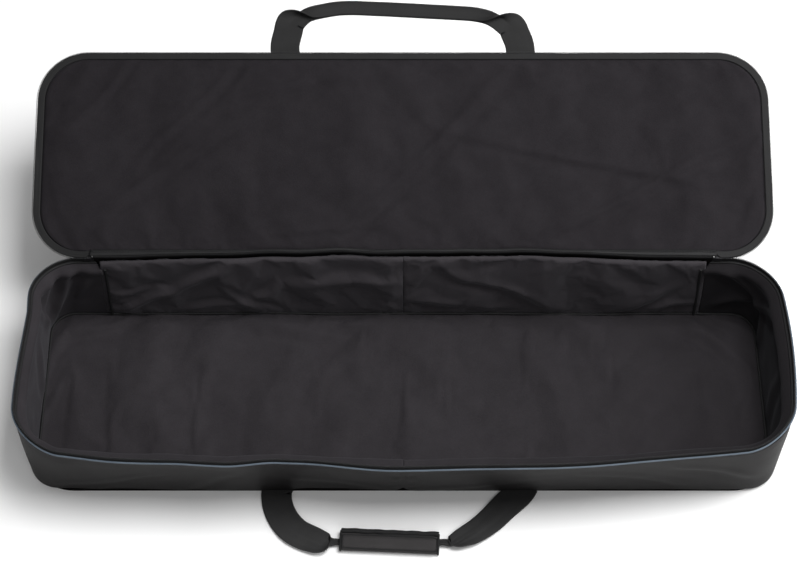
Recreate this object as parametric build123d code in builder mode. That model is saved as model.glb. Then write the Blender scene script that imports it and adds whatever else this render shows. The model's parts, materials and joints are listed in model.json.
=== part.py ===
"""Padded gig bag for a stage keyboard, unzipped, with its lid laid back behind the base.

Units are millimetres. +X runs along the bag, -Y is the front wall where the handle is sewn and
+Z is up. The origin is the centre of the base's underside, on the ground.
The lid is drawn on a plane of its own: X along the bag, Y out from the hinge, Z out of its lining.
"""

import os
from math import cos, radians, sin

from build123d import *

# Base tub
mouth_length = 1240.0
mouth_depth = 360.0
wall_height = 152.0
corner_radius = 75.0
foot_taper_length = 4.0
foot_taper_depth = 8.0
front_bulge = 38.0
end_bulge = 17.0

# Sewn layers, from the outside in
shell_thickness = 1.0
foam_thickness = 8.0
lining_thickness = 2.0
binding_thickness = 1.0
seam_binding_width = 12.0
seam_binding_depth = 2.0
floor_binding_width = 3.0
floor_binding_height = 4.0
piping_radius = 2.0

# Zip
tape_thickness = 1.2
tape_width = 10.5
coil_radius = 1.5
coil_bite = 0.5
slider_length = 13.0
slider_plate = 1.4
slider_gap = 0.35
slider_drop = 5.4
slider_setback = 9.0
bail_length = 9.0
bail_bar_radius = 0.75
knuckle_wall = 1.0
knuckle_length = 5.0
pull_length = 26.0
pull_width = 9.0
pull_thickness = 1.6
pull_clearance = 0.35

# Lid and hinge
lid_side_overhang = 5.0
lid_front_overhang = 8.0
lid_tilt = 18.0
hinge_setback = 100.0
hinge_bead_radius = 3.5
hinge_headroom = 4.5
running_gap = 0.3

# Webbing and handles
web_width = 50.0
web_thickness = 2.0
web_gap = 0.9
fold_width = 25.0
fold_thickness = 4.4
handle_spread = 406.0
anchor_length = 90.0
lid_loop_reach = 91.0
lid_loop_leg = 46.0
lid_loop_knee = 100.0
lid_fold_length = 226.0
front_loop_reach = 110.0
front_loop_leg = 62.0
front_loop_knee = 56.0
front_fold_length = 222.0
front_fold_shift = 20.0

# Padded grip round the front handle
grip_length = 160.0
grip_width = 33.0
grip_height = 12.4
grip_clearance = 0.5
grip_skin = 1.2
grip_slit = 1.6
grip_slit_inset = 4.0
grip_corner = 5.0
flap_length = 152.0
flap_width = 29.0
flap_thickness = 2.4
hook_thickness = 0.6
hook_width = 20.0
hook_length = 140.0
flap_gap = 0.4

# Worked out from the sizes above
base_length = mouth_length - foot_taper_length
base_depth = mouth_depth - foot_taper_depth
hinge_length = mouth_length - 2 * hinge_setback
slider_rest = hinge_length / 2 + slider_setback
layer_insets = {
    "shell": (0.0, shell_thickness),
    "foam": (shell_thickness, shell_thickness + foam_thickness),
    "lining": (shell_thickness + foam_thickness, shell_thickness + foam_thickness + lining_thickness),
}
wall_thickness = shell_thickness + foam_thickness + lining_thickness
floor_top = wall_thickness
rim_top = wall_height + binding_thickness + tape_width - coil_bite
hinge_y = mouth_depth / 2
hinge_z = rim_top + hinge_headroom
back_top = hinge_z - hinge_bead_radius - running_gap
half_hinge = hinge_length / 2
tape_reach = tape_width + coil_radius - coil_bite
panel_length = mouth_length + 2 * (lid_side_overhang - tape_reach)
panel_depth = mouth_depth + lid_front_overhang - 2 * tape_reach
panel_middle = tape_reach + panel_depth / 2
lid_reach = panel_depth + 2 * tape_reach
lid_plane = Plane(
    origin=(0, hinge_y, hinge_z),
    x_dir=(1, 0, 0),
    z_dir=(0, -sin(radians(lid_tilt)), cos(radians(lid_tilt))),
)
lid_outside = -(lining_thickness + foam_thickness + shell_thickness)
coil_inset = shell_thickness + tape_thickness / 2
coil_y = hinge_y - coil_inset
slider_inner = coil_y - coil_radius - slider_gap - slider_plate
slider_outer = coil_y + coil_radius + slider_gap + slider_plate
knuckle_radius = bail_bar_radius + pull_clearance + knuckle_wall
bail_y = slider_outer + knuckle_radius + slider_gap
bail_z = rim_top - 2.5
fold_lift = (grip_height - fold_thickness) / 2
front_edge = Plane(origin=(0, -base_depth / 2, 0), x_dir=(-1, 0, 0), z_dir=(0, 0, 1))
grip_y = -base_depth / 2 - front_loop_reach + fold_width / 2
grip_axis = (-front_fold_shift, grip_y, grip_height / 2)
grip_start = (-front_fold_shift - grip_length / 2, grip_y, grip_height / 2)
grip_end = Plane(origin=grip_start, x_dir=(0, 1, 0), z_dir=(1, 0, 0))
grip_top = Plane(origin=grip_axis, x_dir=(1, 0, 0), z_dir=(0, 0, 1))


def foot_outline(inset):
    """Outline of the tub at the ground."""
    with BuildSketch() as outline:
        RectangleRounded(base_length - 2 * inset, base_depth - 2 * inset, corner_radius - inset)
    return outline.sketch


def mouth_outline(inset):
    """Outline of the open mouth: a straight hinge side, bowed ends and a front that bellies out."""
    half_length = mouth_length / 2
    half_depth = mouth_depth / 2
    rear_left, rear_right = (-half_length, half_depth), (half_length, half_depth)
    front_left, front_right = (-half_length, -half_depth), (half_length, -half_depth)
    with BuildSketch() as outline:
        with BuildLine():
            Line(rear_left, rear_right)
            ThreePointArc(rear_right, (half_length + end_bulge, 0), front_right)
            ThreePointArc(front_right, (0, -half_depth - front_bulge), front_left)
            ThreePointArc(front_left, (-half_length - end_bulge, 0), rear_left)
        make_face()
        fillet(outline.vertices(), radius=corner_radius)
        if inset:
            offset(amount=-inset, mode=Mode.REPLACE)
    return outline.sketch


def tub_block(inset, low, high):
    """Solid block of the tub's form, inset from its outside, between two levels."""
    with BuildPart() as block:
        with BuildSketch(Plane.XY):
            add(foot_outline(inset))
        with BuildSketch(Plane.XY.offset(wall_height)):
            add(mouth_outline(inset))
        loft(ruled=True)
        split(bisect_by=Plane.XY.offset(low), keep=Keep.TOP)
        split(bisect_by=Plane.XY.offset(high), keep=Keep.BOTTOM)
    return block.part


def mouth_block(inset, low, high):
    """Upright block over the mouth, inset from its outside, between two levels."""
    with BuildPart() as block:
        with BuildSketch(Plane.XY.offset(low)):
            add(mouth_outline(inset))
        extrude(amount=high - low)
    return block.part


def box_between(low, high):
    """Box from its lowest corner to its highest."""
    with BuildPart(Location(low)) as block:
        Box(high[0] - low[0], high[1] - low[1], high[2] - low[2], align=(Align.MIN,) * 3)
    return block.part


far = 2 * mouth_length
hinge_zone = box_between((-half_hinge, 0, 0), (half_hinge, far, far))


def save(part, name):
    """Labels a finished piece and writes it as its own node."""
    part.label = name
    export_step(part, f"parts/{name}.step")


# Base tub: floor
def strap_pocket(clearance, height):
    """Space that the sewn-down ends of the front handle take up under the floor."""
    with BuildPart() as pocket:
        with BuildSketch():
            with Locations(*strap_middles()):
                Rectangle(web_width + 2 * clearance, anchor_length + 2 * clearance)
        extrude(amount=height)
    return pocket.part


def strap_middles():
    """Middles of the two strap ends under the floor."""
    middle_y = (anchor_length - base_depth) / 2
    return [(side * handle_spread / 2, middle_y) for side in (-1, 1)]


def make_floor():
    shell_low, shell_high = layer_insets["shell"]
    foam_low, foam_high = layer_insets["foam"]
    pressed_in = web_thickness + shell_thickness
    with BuildPart() as bottom_shell:
        add(tub_block(shell_low, 0, shell_high))
        add(strap_pocket(shell_thickness, pressed_in))
        add(strap_pocket(0, web_thickness), mode=Mode.SUBTRACT)
        add(box_between((-far, -far, 0), (far, -base_depth / 2, far)), mode=Mode.SUBTRACT)
    save(bottom_shell.part, "bottom_shell")
    with BuildPart() as bottom_foam:
        add(tub_block(foam_low, foam_low, foam_high))
        add(strap_pocket(shell_thickness, pressed_in), mode=Mode.SUBTRACT)
    save(bottom_foam.part, "bottom_foam")
    save(tub_block(foam_high, foam_high, floor_top), "floor_lining")
    with BuildPart() as floor_binding:
        add(tub_block(wall_thickness, floor_top, floor_top + floor_binding_height))
        inner = wall_thickness + floor_binding_width
        add(tub_block(inner, floor_top, floor_top + floor_binding_height), mode=Mode.SUBTRACT)
    save(floor_binding.part, "floor_seam_binding")


# Base tub: walls, each a shell, a foam pad and a lining
def wall_layer(layer, top):
    """One layer of the wall, all the way round."""
    outer, inner = layer_insets[layer]
    low = {"shell": shell_thickness, "foam": shell_thickness + foam_thickness, "lining": floor_top}[layer]
    with BuildPart() as wall:
        add(tub_block(outer, low, wall_height))
        add(tub_block(inner, low, wall_height), mode=Mode.SUBTRACT)
        if layer == "shell":
            add(strap_pocket(shell_thickness, web_thickness + shell_thickness), mode=Mode.SUBTRACT)
    if top == wall_height:
        return wall.part
    with BuildPart() as upper:
        add(mouth_block(outer, wall_height, top))
        add(mouth_block(inner, wall_height, top), mode=Mode.SUBTRACT)
    return wall.part + upper.part


def make_walls():
    for layer in layer_insets:
        with BuildPart() as gusset:
            add(wall_layer(layer, wall_height))
            add(hinge_zone, mode=Mode.SUBTRACT)
            split(bisect_by=Plane.YZ)
        save(gusset.part, f"gusset_{layer}_right")
        save(mirror(gusset.part, about=Plane.YZ), f"gusset_{layer}_left")
        with BuildPart() as back:
            add(wall_layer(layer, back_top - binding_thickness))
            add(hinge_zone, mode=Mode.INTERSECT)
            if layer == "lining":
                split(bisect_by=Plane.YZ)
        if layer == "lining":
            save(back.part, "back_lining_right")
            save(mirror(back.part, about=Plane.YZ), "back_lining_left")
        else:
            save(back.part, f"back_{layer}")


def make_seam_bindings():
    for name, side in (("left", -1), ("right", 1)):
        near = side * half_hinge
        x_low, x_high = near - seam_binding_width / 2, near + seam_binding_width / 2
        low = floor_top + floor_binding_height
        strip = box_between((x_low, 0, low), (x_high, far, wall_height))
        with BuildPart() as binding:
            add(tub_block(wall_thickness, low, wall_height))
            add(tub_block(wall_thickness + seam_binding_depth, low, wall_height), mode=Mode.SUBTRACT)
            add(strip, mode=Mode.INTERSECT)
        save(binding.part, f"rear_seam_binding_{name}")


# Rim: binding, piping and the base's half of the zip
def mouth_ring(outer, inner, low, high):
    """Band over the mouth between two insets, with the hinge side left out."""
    with BuildPart() as ring:
        with BuildSketch(Plane.XY.offset(low)):
            add(mouth_outline(outer))
            add(mouth_outline(inner), mode=Mode.SUBTRACT)
            with Locations((0, mouth_depth)):
                Rectangle(hinge_length, mouth_depth * 1.5, mode=Mode.SUBTRACT)
        extrude(amount=high - low)
        split(bisect_by=Plane.YZ)
        mirror(about=Plane.YZ)
    return ring.part


def mouth_tube(outset, level, radius):
    """Round cord round the mouth, with the hinge side left out."""
    track = Pos(0, 0, level) * mouth_outline(-outset).face().outer_wire()
    with BuildPart() as tube:
        with BuildSketch(Plane(origin=track @ 0, z_dir=track % 0)):
            Circle(radius)
        sweep(path=track)
        add(hinge_zone, mode=Mode.SUBTRACT)
    return tube.part


def make_rim():
    binding_top = wall_height + binding_thickness
    save(mouth_ring(0, wall_thickness, wall_height, binding_top), "rim_binding")
    tape_inset = shell_thickness
    tape_top = rim_top - 2 * coil_radius
    save(mouth_ring(tape_inset, tape_inset + tape_thickness, binding_top, tape_top), "rim_zip_tape")
    save(mouth_tube(piping_radius - tape_inset, binding_top + piping_radius, piping_radius), "rim_piping")
    save(mouth_tube(-tape_inset - tape_thickness / 2, rim_top - coil_radius, coil_radius), "rim_zip_coil")
    with BuildPart() as hinge_tape:
        add(mouth_block(0, back_top - binding_thickness, back_top))
        add(mouth_block(wall_thickness, back_top - binding_thickness, back_top), mode=Mode.SUBTRACT)
        add(hinge_zone, mode=Mode.INTERSECT)
    save(hinge_tape.part, "hinge_tape_base")


# Lid
def panel_outline(outset):
    """Outline of the lid's padded panel, grown by an outset."""
    with BuildSketch() as outline:
        with Locations((0, panel_middle)):
            RectangleRounded(panel_length + 2 * outset, panel_depth + 2 * outset, corner_radius + outset)
    return outline.sketch


def lid_slab(outset, low, high):
    """Slab of the lid's outline between two heights over the lid's inner face."""
    with BuildPart() as slab:
        with BuildSketch(lid_plane.offset(low)):
            add(panel_outline(outset))
        extrude(amount=high - low)
    return slab.part


def make_lid():
    lining_low = -lining_thickness
    foam_low = lining_low - foam_thickness
    shell_low = foam_low - shell_thickness
    with BuildPart() as lid_shell:
        add(lid_slab(0, shell_low, 0))
        add(lid_slab(-shell_thickness, foam_low, 0), mode=Mode.SUBTRACT)
    save(lid_shell.part, "lid_shell")
    save(lid_slab(-shell_thickness, foam_low, lining_low), "lid_foam")
    save(lid_slab(-shell_thickness, lining_low, 0), "lid_lining")

    coil_level = -tape_thickness / 2
    with BuildPart() as coil:
        with BuildLine(lid_plane.offset(coil_level)) as track:
            half = panel_length / 2 + tape_reach
            ends = [(-half_hinge, 0), (half_hinge, 0)]
            corners = [(-half, 0), (-half, lid_reach), (half, lid_reach), (half, 0)]
            FilletPolyline(ends[0], *corners, ends[1], radius=corner_radius + tape_reach)
        path = track.wires()[0]
        with BuildSketch(Plane(origin=path @ 0, z_dir=path % 0)):
            Circle(coil_radius)
        sweep(path=path)
    save(coil.part, "lid_zip_coil")

    with BuildPart() as bead:
        with BuildSketch(Plane.YZ.offset(-half_hinge)):
            with Locations((hinge_y, hinge_z)):
                Circle(hinge_bead_radius)
        extrude(amount=hinge_length)
    save(bead.part, "hinge_binding")

    with BuildPart() as ring:
        add(lid_slab(tape_reach, -tape_thickness, 0))
        add(lid_slab(0, -tape_thickness, 0), mode=Mode.SUBTRACT)
    tape_edge = tape_reach - coil_radius
    with BuildPart() as zone:
        with BuildSketch(lid_plane.offset(-far / 2)):
            with Locations((0, panel_middle - panel_depth / 2)):
                Rectangle(hinge_length, 2 * tape_reach)
        extrude(amount=far)
    with BuildPart() as zip_tape:
        add(lid_slab(tape_edge, -tape_thickness, 0))
        add(lid_slab(0, -tape_thickness, 0), mode=Mode.SUBTRACT)
        add(zone.part, mode=Mode.SUBTRACT)
    save(zip_tape.part, "lid_zip_tape")
    with BuildPart() as hinge_tape:
        add(ring.part)
        add(zone.part, mode=Mode.INTERSECT)
        add(bead.part, mode=Mode.SUBTRACT)
    save(hinge_tape.part, "hinge_tape_lid")


# Webbing straps and handle loops
def make_straps():
    with BuildPart() as under_base:
        add(strap_pocket(0, web_thickness))
    for name, strap in zip(("left", "right"), under_base.part.solids().sort_by(Axis.X)):
        save(Part() + strap, f"base_strap_{name}")
    strap_end = lid_reach + coil_radius
    for name, side in (("left", -1), ("right", 1)):
        with BuildPart() as strap:
            with BuildSketch(lid_plane.offset(lid_outside - web_thickness)):
                with Locations((side * handle_spread / 2, strap_end - anchor_length / 2)):
                    Rectangle(web_width, anchor_length)
            extrude(amount=web_thickness)
        save(strap.part, f"lid_strap_{name}")


def handle_loop(plane, fold, leg_length, knee, lift):
    """Webbing loop: two flat legs, and a middle folded in half lengthways for the hand.

    The fold is given by its middle, its length and how far out it lies; lift is its height.
    """
    middle, length, reach = fold
    with BuildPart() as loop:
        for side in (-1, 1):
            foot = side * handle_spread / 2
            end = middle + side * length / 2
            with BuildSketch(plane):
                with BuildLine():
                    Polyline(
                        (foot - side * web_width / 2, web_gap),
                        (foot + side * web_width / 2, web_gap),
                        (end + side * knee, leg_length),
                        (end, reach),
                        (end - side * web_thickness, reach),
                        (end - side * web_thickness, reach - fold_width),
                        (end, reach - fold_width),
                        close=True,
                    )
                make_face()
            extrude(amount=web_thickness)
            with BuildSketch(plane):
                with Locations((end - side * web_thickness / 2, reach - fold_width / 2)):
                    Rectangle(web_thickness, fold_width)
            extrude(amount=lift + fold_thickness)
        with BuildSketch(plane.offset(lift)):
            with Locations((middle, reach - fold_width / 2)):
                Rectangle(length, fold_width)
        extrude(amount=fold_thickness)
    return loop.part


def make_handles():
    lid_origin = lid_plane.from_local_coords((0, lid_reach + coil_radius, lid_outside - web_thickness))
    lid_edge = Plane(origin=lid_origin, x_dir=(1, 0, 0), z_dir=lid_plane.z_dir)
    lid_fold = (0, lid_fold_length, lid_loop_reach)
    save(handle_loop(lid_edge, lid_fold, lid_loop_leg, lid_loop_knee, 0), "lid_handle_web")
    front_fold = (front_fold_shift, front_fold_length, front_loop_reach)
    front = handle_loop(front_edge, front_fold, front_loop_leg, front_loop_knee, fold_lift)
    save(front, "front_handle_web")


# Grip, drawn on the front handle's plane
def grip_block(grow, inset):
    """Block of the grip's rounded section, grown across and inset along its length."""
    with BuildPart() as block:
        with BuildSketch(grip_end.offset(inset)):
            RectangleRounded(grip_width + 2 * grow, grip_height + 2 * grow, grip_corner + grow)
        extrude(amount=grip_length - 2 * inset)
    return block.part


def grip_hollow():
    """Bore round the folded webbing, with the slit the wrap is put on through."""
    with BuildPart() as hollow:
        with BuildSketch(grip_end.offset(-1)):
            Rectangle(fold_width + 2 * grip_clearance, fold_thickness + 2 * grip_clearance)
            with Locations((grip_slit_inset - fold_width / 2, grip_height)):
                Rectangle(grip_slit, 2 * grip_height)
        extrude(amount=grip_length + 2)
    return hollow.part


def grip_plate(length, width, low, high):
    """Plate lying over the grip between two heights over its middle."""
    with BuildPart() as plate:
        with BuildSketch(grip_top.offset(low)):
            RectangleRounded(length, width, 3)
        extrude(amount=high - low)
    return plate.part


def make_grip():
    with BuildPart() as skin:
        add(grip_block(0, 0))
        add(grip_block(-grip_skin, 0), mode=Mode.SUBTRACT)
        add(grip_hollow(), mode=Mode.SUBTRACT)
    save(skin.part, "grip_skin")
    with BuildPart() as foam:
        add(grip_block(-grip_skin, 0))
        add(grip_hollow(), mode=Mode.SUBTRACT)
    save(foam.part, "grip_foam")
    top = grip_height / 2
    with BuildPart() as hook:
        add(grip_plate(hook_length, hook_width, top, top + hook_thickness))
    save(hook.part, "grip_hook_strip")
    under = top + hook_thickness + flap_gap
    save(grip_plate(hook_length, hook_width, under, under + hook_thickness), "flap_loop_strip")
    flap_low = under + hook_thickness
    save(grip_plate(flap_length, flap_width, flap_low, flap_low + flap_thickness), "grip_flap")


# Zip sliders and pulls, on the rear straight of the rim
def make_sliders():
    for name, side in (("left", -1), ("right", 1)):
        x_low = side * slider_rest - slider_length / 2
        x_high = side * slider_rest + slider_length / 2
        z_low, z_high = rim_top - slider_drop, rim_top + slider_gap + slider_plate
        with BuildPart() as slider:
            add(box_between((x_low, slider_inner, z_low), (x_high, slider_outer, z_high)))
            slot_low = (x_low, slider_inner + slider_plate, z_low)
            slot_high = (x_high, slider_outer - slider_plate, rim_top + slider_gap)
            add(box_between(slot_low, slot_high), mode=Mode.SUBTRACT)
            for end in (-1, 1):
                post_x = side * slider_rest + end * (bail_length + 2 * bail_bar_radius) / 2 - bail_bar_radius
                post_low = (post_x, slider_outer, bail_z - bail_bar_radius)
                post_end = post_x + 2 * bail_bar_radius
                post_high = (post_end, bail_y + bail_bar_radius, bail_z + bail_bar_radius)
                add(box_between(post_low, post_high))
            with BuildSketch(Plane.YZ.offset(side * slider_rest - bail_length / 2)):
                with Locations((bail_y, bail_z)):
                    Circle(bail_bar_radius)
            extrude(amount=bail_length)
        save(slider.part, f"slider_{name}")
        with BuildPart() as pull:
            with BuildSketch(Plane.YZ.offset(side * slider_rest - knuckle_length / 2)):
                with Locations((bail_y, bail_z)):
                    Circle(knuckle_radius)
                with Locations((bail_y, bail_z - knuckle_radius)):
                    Rectangle(pull_thickness, 2 * knuckle_radius)
                with Locations((bail_y, bail_z)):
                    Circle(bail_bar_radius + pull_clearance, mode=Mode.SUBTRACT)
            extrude(amount=knuckle_length)
            with BuildSketch(Plane.XZ.offset(-bail_y - pull_thickness / 2)):
                plate_top = bail_z - knuckle_radius - slider_gap
                with Locations((side * slider_rest, plate_top - pull_length / 2)):
                    RectangleRounded(pull_width, pull_length, 3)
                    with Locations((0, -pull_length / 4)):
                        SlotOverall(8, 3, rotation=90, mode=Mode.SUBTRACT)
            extrude(amount=pull_thickness)
        save(pull.part, f"pull_{name}")




if __name__ == "__main__":
    os.makedirs("parts", exist_ok=True)
    make_floor()
    make_walls()
    make_seam_bindings()
    make_rim()
    make_lid()
    make_straps()
    make_handles()
    make_grip()
    make_sliders()
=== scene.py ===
import json
import math

import bmesh
import bpy
from mathutils import Matrix, Vector, noise


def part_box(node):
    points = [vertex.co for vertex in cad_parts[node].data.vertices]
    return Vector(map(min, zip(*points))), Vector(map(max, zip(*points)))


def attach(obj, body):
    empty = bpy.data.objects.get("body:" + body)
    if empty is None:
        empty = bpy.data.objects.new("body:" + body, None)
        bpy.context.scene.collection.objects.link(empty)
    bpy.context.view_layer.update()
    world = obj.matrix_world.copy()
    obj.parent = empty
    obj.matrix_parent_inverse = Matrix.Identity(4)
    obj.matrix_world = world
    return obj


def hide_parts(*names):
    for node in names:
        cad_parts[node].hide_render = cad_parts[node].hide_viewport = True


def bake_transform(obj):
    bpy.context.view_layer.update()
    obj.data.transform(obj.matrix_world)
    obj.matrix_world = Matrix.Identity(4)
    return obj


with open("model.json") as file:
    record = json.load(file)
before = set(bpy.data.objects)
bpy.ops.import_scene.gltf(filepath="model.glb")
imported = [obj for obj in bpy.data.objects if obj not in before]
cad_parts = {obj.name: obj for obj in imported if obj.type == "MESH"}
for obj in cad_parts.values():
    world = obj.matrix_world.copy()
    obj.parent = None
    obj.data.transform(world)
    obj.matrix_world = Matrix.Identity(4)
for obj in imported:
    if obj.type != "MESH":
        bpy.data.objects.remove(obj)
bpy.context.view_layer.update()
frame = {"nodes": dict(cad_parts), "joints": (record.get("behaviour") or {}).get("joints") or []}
print("stage: frame loaded")

# places that the frame gives
rimLow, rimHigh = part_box("rim_binding")
tapeLow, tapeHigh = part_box("rim_zip_tape")
coilLow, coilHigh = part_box("rim_zip_coil")
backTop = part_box("hinge_tape_base")[1].z
lidHinge = next(j for j in frame["joints"] if j["name"] == "lid_hinge")
hingeY, hingeZ = lidHinge["pos_m"][1:]
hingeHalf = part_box("hinge_binding")[1].x

tub = {
    "mouth": (0.620, 0.180), "foot": (0.618, 0.176), "corner": 0.075, "footCorner": 0.052,
    "bowLeft": (0.005, 0.012), "bowRight": (0.017, 0.0), "frontBulge": 0.040, "frontSag": 0.004,
    "frontDrawn": 0.0050, "frontFull": 0.006, "wallTop": rimLow.z, "wall": 0.011, "floor": 0.011,
    "roll": 0.0085, "hem": 0.0045,
}
lid = {
    "tilt": math.radians(18), "half": (0.6135, 0.1725), "middle": 0.184, "corner": 0.075, "thick": 0.011,
    "tape": 0.0115,
    "slide": -0.005, "droop": 0.006,
}


def addCamera():
    view = {"place": (-0.005, -1.8964, 3.2141), "elevation": 56.41, "lens": 99.0}
    camera = bpy.data.cameras.new("camera")
    camera.lens = view["lens"]
    camera.sensor_width = 36
    holder = bpy.data.objects.new("camera", camera)
    holder.location = view["place"]
    holder.rotation_euler = (math.radians(90 - view["elevation"]), 0, 0)
    bpy.context.collection.objects.link(holder)
    bpy.context.scene.camera = holder


def addStudio():
    studio = {
        "world": 0.34, "floor": 0.97,
        "lamps": (
            ("key", (2.7, 0.3, 1.5), 1.2, 52), ("top", (0.9, 0.1, 3.3), 1.7, 104),
            ("front", (0.5, -3.2, 2.2), 2.2, 21),
        ),
    }
    world = bpy.data.worlds.new("studio")
    world.use_nodes = True
    world.node_tree.nodes["Background"].inputs["Color"].default_value = (1, 1, 1, 1)
    world.node_tree.nodes["Background"].inputs["Strength"].default_value = studio["world"]
    bpy.context.scene.world = world
    bpy.context.scene.view_settings.view_transform = "Standard"
    for name, place, size, power in studio["lamps"]:
        lamp = bpy.data.lights.new(name, "AREA")
        lamp.size = size
        lamp.energy = power
        holder = bpy.data.objects.new(name, lamp)
        holder.location = place
        holder.rotation_euler = (Vector((0, 0.1, 0.1)) - Vector(place)).to_track_quat("-Z", "Y").to_euler()
        bpy.context.collection.objects.link(holder)
    ground = bmesh.new()
    bmesh.ops.create_grid(ground, x_segments=4, y_segments=4, size=9)
    floor = meshObject("studioFloor", ground)
    floor.location.z = -0.0004
    paper = bpy.data.materials.new("paleFloor")
    paper.use_nodes = True
    shader = paper.node_tree.nodes["Principled BSDF"]
    shader.inputs["Base Color"].default_value = (studio["floor"],) * 3 + (1,)
    shader.inputs["Roughness"].default_value = 0.9
    floor.data.materials.append(paper)


# meshes
def meshObject(name, shape, smooth=True):
    mesh = bpy.data.meshes.new(name)
    shape.to_mesh(mesh)
    shape.free()
    if smooth:
        mesh.shade_smooth()
    piece = bpy.data.objects.new(name, mesh)
    bpy.context.collection.objects.link(piece)
    return piece


def gridPiece(name, cells, place, size, flip=False):
    # size is the cloth's own length and height, so the weave keeps one scale
    shape = bmesh.new()
    bmesh.ops.create_grid(shape, x_segments=cells[0], y_segments=cells[1], size=0.5)
    layer = shape.loops.layers.uv.new("cloth")
    for face in shape.faces:
        for loop in face.loops:
            loop[layer].uv = ((loop.vert.co.x + 0.5) * size[0], (loop.vert.co.y + 0.5) * size[1])
    for vertex in shape.verts:
        vertex.co = place(vertex.co.x + 0.5, vertex.co.y + 0.5)
    if flip:
        bmesh.ops.reverse_faces(shape, faces=shape.faces)
    return meshObject(name, shape)


def thicken(piece, thickness, even=True):
    wall = piece.modifiers.new("thickness", "SOLIDIFY")
    wall.thickness = thickness
    wall.offset = -1
    wall.use_even_offset = even
    return piece


def tubePiece(name, points, radius, closed=False, sides=3):
    # a round cord along the points
    line = bpy.data.curves.new(name, "CURVE")
    line.dimensions = "3D"
    line.bevel_depth = radius
    line.bevel_resolution = sides
    line.use_fill_caps = not closed
    run = line.splines.new("POLY")
    run.points.add(len(points) - 1)
    for knot, point in zip(run.points, points):
        knot.co = (*point, 1)
    run.use_cyclic_u = closed
    holder = bpy.data.objects.new(name + "Line", line)
    bpy.context.collection.objects.link(holder)
    bpy.context.view_layer.update()
    mesh = bpy.data.meshes.new_from_object(holder.evaluated_get(bpy.context.evaluated_depsgraph_get()))
    bpy.data.objects.remove(holder)
    mesh.name = name
    mesh.shade_smooth()
    piece = bpy.data.objects.new(name, mesh)
    bpy.context.collection.objects.link(piece)
    return piece


def stitchPiece(name, stitches, length, radius):
    # each stitch is a place and the way it runs
    shape = bmesh.new()
    for place, way in stitches:
        turn = Vector(way).to_track_quat("X", "Z").to_matrix().to_4x4()
        fit = Matrix.Translation(place) @ turn @ Matrix.Diagonal((length / 2, radius, radius, 1))
        bmesh.ops.create_uvsphere(shape, u_segments=6, v_segments=4, radius=1, matrix=fit)
    return meshObject(name, shape)


def runStitches(path, pitch):
    # stitch places at an even pitch along a line of points
    stitches = []
    left = pitch / 2
    for here, there in zip(path, path[1:]):
        step = there - here
        span = step.length
        while left <= span:
            stitches.append((here + step * (left / span), step.normalized()))
            left += pitch
        left -= span
    return stitches


# soft surfaces
def ripple(x, y, size, seed):
    return noise.noise(Vector((x / size, y / size, 5.3 * seed)))


def smoothStep(value):
    value = min(max(value, 0), 1)
    return value * value * (3 - 2 * value)


def creaseHeight(x, y, creases):
    # each crease: from, to, width, height; a ridge with a shallow valley beside it
    total = 0
    for x0, y0, x1, y1, width, height in creases:
        runX, runY = x1 - x0, y1 - y0
        span = math.hypot(runX, runY)
        along = ((x - x0) * runX + (y - y0) * runY) / span ** 2
        if not -0.25 < along < 1.25:
            continue
        side = ((x - x0) * runY - (y - y0) * runX) / span
        side += 0.35 * width * math.sin(5 * along + 40 * x0)
        if abs(side) > 5 * width:
            continue
        fade = smoothStep((along + 0.25) / 0.5) * smoothStep((1.25 - along) / 0.5)
        valley = math.exp(-((side - 1.8 * width) / (1.1 * width)) ** 2)
        total += height * fade * (math.exp(-(side / width) ** 2) - 0.8 * valley)
    return total


def loopPoint(t, half, corner):
    # once round a rounded rectangle, from the middle of the rear towards -X
    halfLength, halfDepth = half
    flatLength, flatDepth, arc = halfLength - corner, halfDepth - corner, math.pi * corner / 2
    walk = (t % 1) * (4 * (flatLength + flatDepth + arc))
    for centreX, centreY, heading, flat in (
        (-flatLength, flatDepth, 180, flatLength), (-flatLength, -flatDepth, 270, 2 * flatDepth),
        (flatLength, -flatDepth, 0, 2 * flatLength), (flatLength, flatDepth, 90, 2 * flatDepth),
    ):
        angle = math.radians(heading)
        along = Vector((math.cos(angle), math.sin(angle)))
        out = Vector((along.y, -along.x))
        if walk < flat:
            return Vector((centreX, centreY)) + out * corner + along * (walk - flat), out
        walk -= flat
        if walk < arc:
            turned = angle + walk / corner
            out = Vector((math.sin(turned), -math.cos(turned)))
            return Vector((centreX, centreY)) + out * corner, out
        walk -= arc
    return Vector((flatLength - walk, halfDepth)), Vector((0, 1))


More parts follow.
